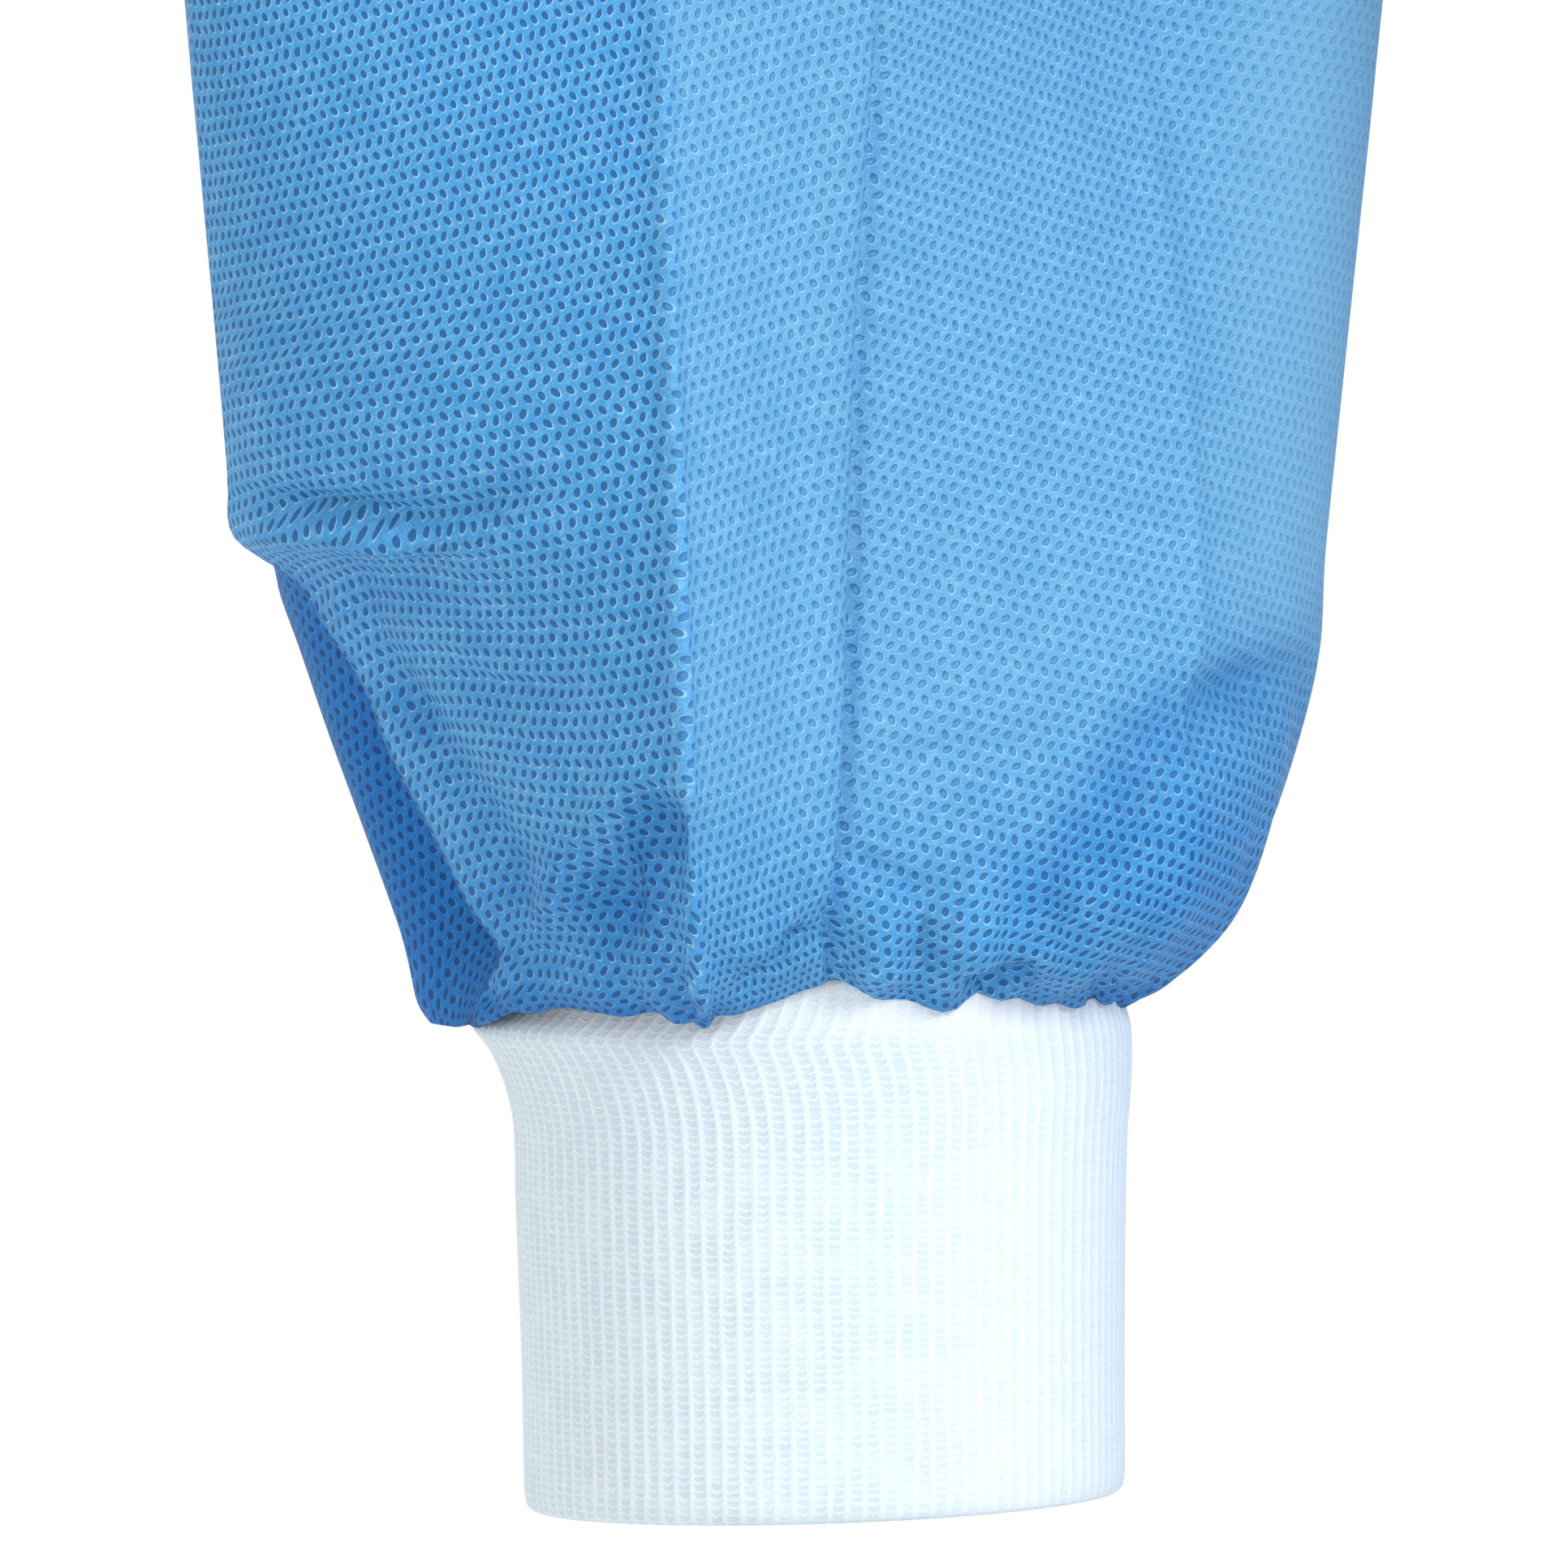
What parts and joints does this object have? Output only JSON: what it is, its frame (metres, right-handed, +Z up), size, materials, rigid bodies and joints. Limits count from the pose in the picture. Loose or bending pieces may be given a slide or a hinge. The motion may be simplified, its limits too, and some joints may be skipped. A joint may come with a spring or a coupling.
{
  "type": "disposable lab jacket",
  "caption": "Hollow nonwoven lab jacket with long sleeves gathered into knitted cuffs, a knitted collar and a front closed by snaps.",
  "frame": {"origin": "between the two neck points, at the height where the shoulders carry the jacket", "axes": "+X towards the wearer's left, -Y towards the front, +Z up"},
  "size_m": [0.797, 0.2829, 0.7914],
  "materials": {
    "blue_nonwoven": "matte",
    "white_knit": "matte",
    "white_plastic": "satin"
  },
  "bodies": {
    "root": {"back": "blue_nonwoven", "front_left": "blue_nonwoven", "front_right": "blue_nonwoven", "sleeve_right": "blue_nonwoven", "sleeve_left": "blue_nonwoven", "cuff_right": "white_knit", "cuff_left": "white_knit", "collar": "white_knit", "snap_cap_1": "white_plastic", "snap_cap_2": "white_plastic", "snap_cap_3": "white_plastic", "snap_cap_4": "white_plastic", "snap_cap_5": "white_plastic", "snap_stud_1": "white_plastic", "snap_stud_2": "white_plastic", "snap_stud_3": "white_plastic", "snap_stud_4": "white_plastic", "snap_stud_5": "white_plastic"}
  },
  "joints": []
}
